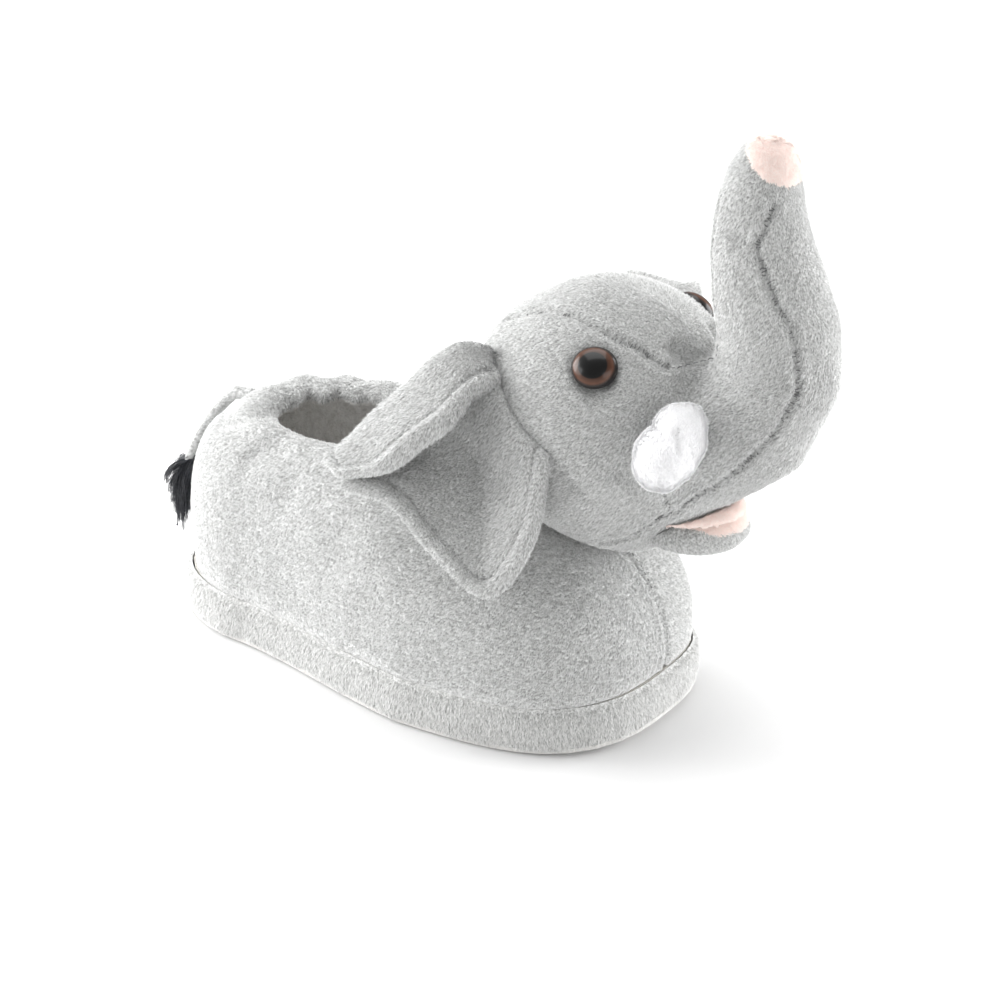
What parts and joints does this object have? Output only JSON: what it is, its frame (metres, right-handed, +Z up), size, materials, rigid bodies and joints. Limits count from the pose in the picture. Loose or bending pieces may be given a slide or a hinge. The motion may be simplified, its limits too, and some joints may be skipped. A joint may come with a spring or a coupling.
{
  "type": "animal slipper",
  "caption": "Padded plush slipper with a stuffed elephant head and raised trunk over the toe, folded ears, tusks and a tasselled tail.",
  "frame": {"origin": "middle of the sole's length and width, on the flat underside of the outsole", "axes": "+X towards the toe, +Y towards the wearer's left, +Z up"},
  "size_m": [0.3838, 0.2222, 0.3043],
  "materials": {
    "plush_grey": "short brushed plush pile, matt",
    "plush_pink": "short velvet plush, matt",
    "plush_white": "short plush, matt",
    "lining_grey": "brushed fleece lining, matt",
    "grip_sheet": "pale woven sole cloth with grip dots",
    "foam": "soft foam",
    "hair_black": "long pile, slight sheen",
    "eye_plastic": "clear gloss over brown and black"
  },
  "bodies": {
    "root": {"outsole": "grip_sheet", "midsole": "foam", "sole_band": "plush_grey", "insole": "lining_grey", "upper": "plush_grey", "head": "plush_grey", "lower_lip": "plush_grey", "mouth_lining": "plush_pink", "nostril_pad": "plush_pink", "tusk_right": "plush_white", "tusk_left": "plush_white", "eye_right": "eye_plastic", "eye_left": "eye_plastic", "ear_right": "plush_grey", "ear_left": "plush_grey", "tail": "plush_grey", "tassel": "hair_black"}
  },
  "joints": []
}
